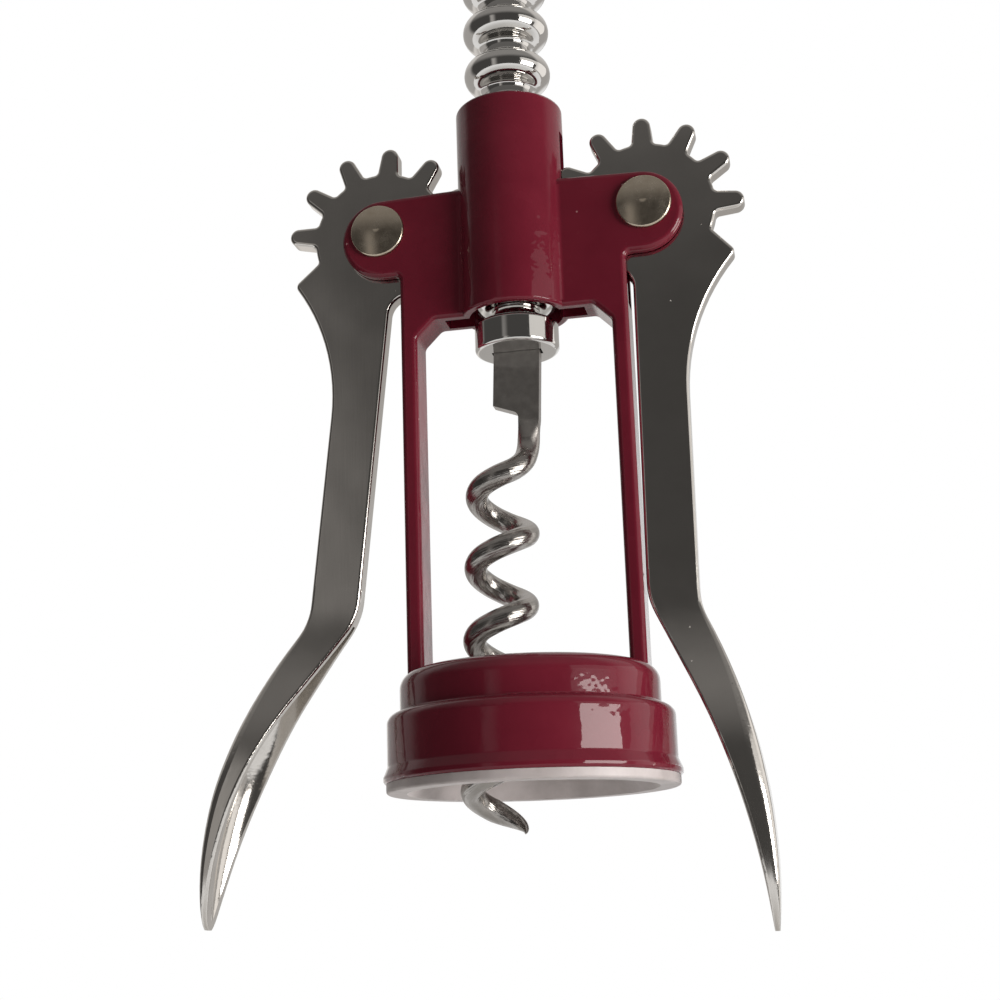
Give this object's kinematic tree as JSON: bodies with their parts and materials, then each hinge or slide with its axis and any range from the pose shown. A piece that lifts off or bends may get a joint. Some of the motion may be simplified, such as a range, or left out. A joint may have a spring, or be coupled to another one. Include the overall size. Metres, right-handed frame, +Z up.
{
  "type": "double-lever wing corkscrew",
  "caption": "Wing corkscrew: red lacquered bell frame, geared chrome levers on rivets that drive a beaded rack, a turning worm and a cap-lifter handle.",
  "frame": {"origin": "middle of the bell's mouth, in the plane of the plastic insert's lower face that sits on a bottle", "axes": "+Z up the tube's axis to the cap lifter, +X to the right-hand lever, -Y the front"},
  "size_m": [0.0833, 0.042, 0.2017],
  "materials": {
    "red_lacquer": "glossy burgundy lacquer on a zinc casting",
    "chrome_plate": "bright chrome plate",
    "nickel_plate": "warm satin nickel plate",
    "polished_steel": "polished steel wire",
    "white_plastic": "moulded off-white plastic"
  },
  "bodies": {
    "frame": {"frame_casting": "red_lacquer", "neck_insert": "white_plastic", "left_rivet_front": "nickel_plate", "left_rivet_back": "nickel_plate", "right_rivet_front": "nickel_plate", "right_rivet_back": "nickel_plate"},
    "left_wing": {"left_lever": "chrome_plate"},
    "right_wing": {"right_lever": "chrome_plate"},
    "rack": {"rack_sleeve": "chrome_plate"},
    "screw": {"spindle": "chrome_plate", "worm": "polished_steel", "cap_lifter": "chrome_plate", "handle_pin": "polished_steel"}
  },
  "joints": [
    {"name": "rack_slide", "type": "slide", "parent": "frame", "child": "rack", "axis": [0, 0, -1], "range_m": [0, 0.037]},
    {"name": "left_lever_pivot", "type": "hinge", "parent": "frame", "child": "left_wing", "pos_m": [-0.0204, 0, 0.08515], "axis": [0, 1, 0], "range_deg": [0, 150.5]},
    {"name": "right_lever_pivot", "type": "hinge", "parent": "frame", "child": "right_wing", "pos_m": [0.0204, 0, 0.08515], "axis": [0, -1, 0], "range_deg": [0, 150.5]},
    {"name": "worm_spin", "type": "hinge", "parent": "rack", "child": "screw", "pos_m": [0, 0, 0.1], "axis": [0, 0, 1], "continuous": true}
  ],
  "couplings": [
    {"joint": "left_lever_pivot", "follows": "rack_slide", "rad_per_m": 70.757},
    {"joint": "right_lever_pivot", "follows": "rack_slide", "rad_per_m": 70.757}
  ]
}
